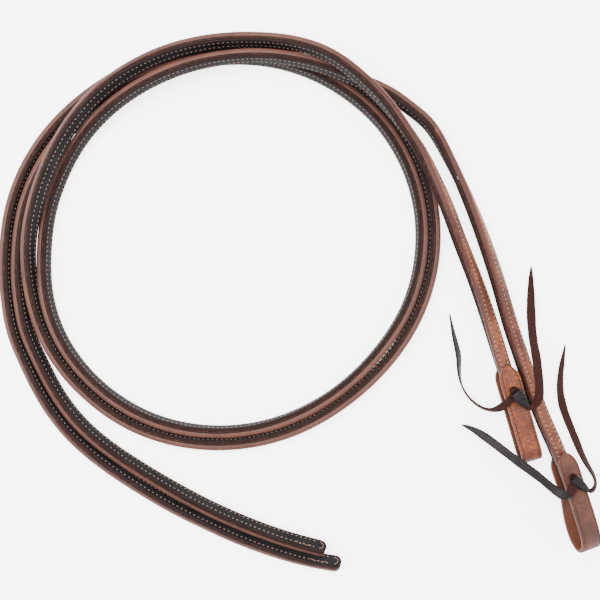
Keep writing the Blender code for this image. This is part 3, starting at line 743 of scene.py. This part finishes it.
def lace_knot(hand, place, barrel, mat, size):
    """The lace comes up through the hole, wraps round itself once and is pulled tight."""
    origin, along, across, up = place
    (bx, by), (ax, ay) = barrel
    axis = (along * ax + across * ay) / math.hypot(ax, ay)
    middle = origin + along * bx + across * by + up * KNOT_UP
    beside = np.cross(up, axis)
    wrap = lofted(hand + "_knot_wrap", middle, axis, beside, up, [
        (-8.6, 0, 0, 2.8, 1.8), (-8.8, 0, 0, 3.8, 2.6), (-8.9, 0, 0, 4.5, 3.2),
        (-8.7, 0, 0, 4.9, 3.6), (-8.1, 0, 0, 5.1, 3.9), (-6.2, 0, 0, 5.2, 4.05),
        (-3.6, 0, 0, 5.3, 4.15), (-1.6, 0, 0, 5.3, 4.15), (-0.7, 0, 0, 5.2, 4.05),
        (-0.3, 0, 0, 4.9, 3.75), (-0.3, 0, 0, 4.2, 3.1), (-0.5, 0, 0, 3.4, 2.4)],
        0.5, mat, size=size)
    cone = lofted(hand + "_knot_cone", middle, axis, beside, up, [
        (-1.2, 0, 0, 3.4, 2.6), (-0.1, 0, 0, 4.0, 3.0), (0.5, 0, 0, 4.45, 3.35),
        (1.2, 0, 0, 4.6, 3.5), (2.8, 0, 0, 4.4, 3.45), (4.4, 0.1, 0, 3.9, 3.2),
        (6.0, 0.2, 0, 3.3, 2.8), (7.4, 0.3, 0, 2.8, 2.3), (8.5, 0.4, 0, 2.3, 1.8),
        (9.0, 0.4, 0, 1.5, 1.2)], 0.7, mat, size=size)
    neck = lofted(hand + "_knot_neck", origin, up, along, across, [
        (-8.2, 0, 0, 2.6, 2.6), (7.0, 0, 0, 2.9, 3.2), (8.0, 0, 0, 3.0, 3.3),
        (8.7, 0.5, 0, 2.6, 3.0), (9.0, 1.0, 0, 1.6, 2.2)], 0.9, mat, flesh=2.0)
    return [wrap, cone, neck]


# ---- build ----------------------------------------------------------------------------------
def dress(piece, body, node):
    """piece rides on body and stands for node, which is hidden."""
    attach(piece, body)
    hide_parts(node)


camera_and_light()
MATERIALS = {
    "top": top_leather(),
    "lining": lining_leather(),
    # for each loop: low and high grain colours, the colour of the painted sheen on its wrinkles,
    # how much of that sheen shows, and the wrinkle scale
    "left_loop": loop_leather("orange_loop_leather", (156, 84, 62), (228, 140, 106),
                              (134, 92, 86), 0.9, 0.55),
    "right_loop": loop_leather("brown_loop_leather", (128, 80, 66), (184, 122, 100),
                               (112, 82, 76), 0.8, 1.2),
    "lace": lace_leather("dark_lace_leather", (40, 34, 36), (58, 50, 52)),
    "knot": lace_leather("dark_knot_leather", (36, 27, 30), (54, 43, 46)),
    "face_thread": thread("face_thread", (232, 196, 180), (255, 240, 226)),
    "back_thread": thread("back_thread", (206, 158, 142), (240, 200, 184)),
}
KNOT_SIZE = {"left": 1.0, "right": 0.84}
# the stretch of lace beside the right knot, before it folds over into the left tail
STUB = [(242.0, -158.4, 26.6, -14, 3.4), (239.4, -163.0, 27.8, -12, 4.1),
        (237.2, -167.6, 28.4, -10, 4.1), (236.0, -171.4, 28.4, -8, 2.8)]
# a key inside the knot, before a tail's first one, where the tail comes out from under it
ROOTS = {
    ("left", "left"): [(188.4, -85.6, 21.0, -6, 3.4)],
    ("left", "right"): [(199.4, -94.4, 22.4, 6, 1.9)],
    ("right", "right"): [(251.6, -166.2, 27.2, -6, 1.7)],
}
FLESH_UP = {"left": {"left": True, "right": True}, "right": {"left": False, "right": True}}

for hand, keys, shape in (("left", LEFT_KEYS, FLAT_LOOP), ("right", RIGHT_KEYS, OPEN_LOOP)):
    route = Route(keys)
    top = strap(hand + "_top", route, TOP_HALF, MATERIALS["top"])
    lining = strap(hand + "_lining", route, LINING_HALF, MATERIALS["lining"])
    face_run = stitch_line(hand + "_face_stitches", route, 1, MATERIALS["face_thread"], 3.0, 9.0)
    back_run = stitch_line(hand + "_back_stitches", route, -1, MATERIALS["back_thread"], 2.3, 6.0)
    dress(top, "reins", hand + "_rein_top_strap")
    dress(lining, "reins", hand + "_rein_lining")
    dress(face_run, "reins", hand + "_rein_face_thread")
    dress(back_run, "reins", hand + "_rein_back_thread")

    place = loop_frame(route, LACES[hand]["turn"])
    for piece in (top, lining):
        drill_hole(piece, place[0], place[3], STRAP_HOLE_R)

    loop = bit_loop(hand + "_loop", place, TAB + shape + BACK_TAB, MATERIALS[hand + "_loop"])
    dress(loop, hand + "_loop", hand + "_bit_loop")
    for piece in lace_knot(hand, place, LACES[hand]["barrel"], MATERIALS["knot"], KNOT_SIZE[hand]):
        dress(piece, hand + "_loop", hand + "_lace_knot")
    if hand == "right":   # here the lace shows its flesh side
        stub, _ = ribbon("right_lace_stub", STUB, True, MATERIALS["lace"])
        dress(stub, "right_loop", "right_lace_knot")
    for side in ("left", "right"):
        tail_keys = ROOTS.get((hand, side), []) + LACES[hand][side]
        tail, points = ribbon(hand + "_lace_" + side, tail_keys, FLESH_UP[hand][side],
                              MATERIALS["lace"])
        dress(tail, hand + "_loop_lace_" + side, hand + "_lace_" + side + "_tail")
